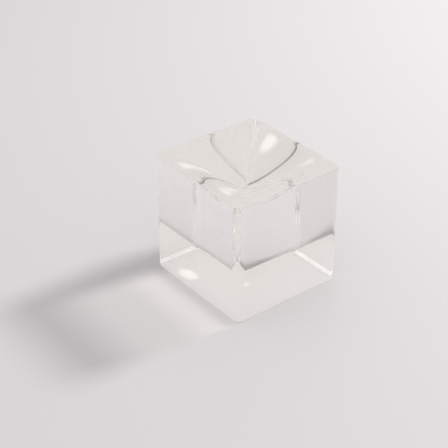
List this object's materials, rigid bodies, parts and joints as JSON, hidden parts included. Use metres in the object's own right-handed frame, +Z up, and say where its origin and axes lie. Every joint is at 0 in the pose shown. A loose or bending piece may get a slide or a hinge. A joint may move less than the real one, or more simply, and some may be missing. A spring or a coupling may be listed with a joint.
{
  "type": "acrylic display block",
  "caption": "Solid clear acrylic cube with rounded upright edges and a soft-rimmed square hollow in its top, narrowing almost to a point, that seats a ball, egg or mineral specimen.",
  "frame": {"origin": "centre of the flat base, on the plane the block stands on", "axes": "+Z up along the axis of the hollow, +X across the block's width (48 mm), +Y along its depth (50 mm)"},
  "size_m": [0.048, 0.05, 0.0483],
  "materials": {
    "clear_acrylic": "polished"
  },
  "bodies": {
    "root": {"display_block": "clear_acrylic"}
  },
  "joints": []
}
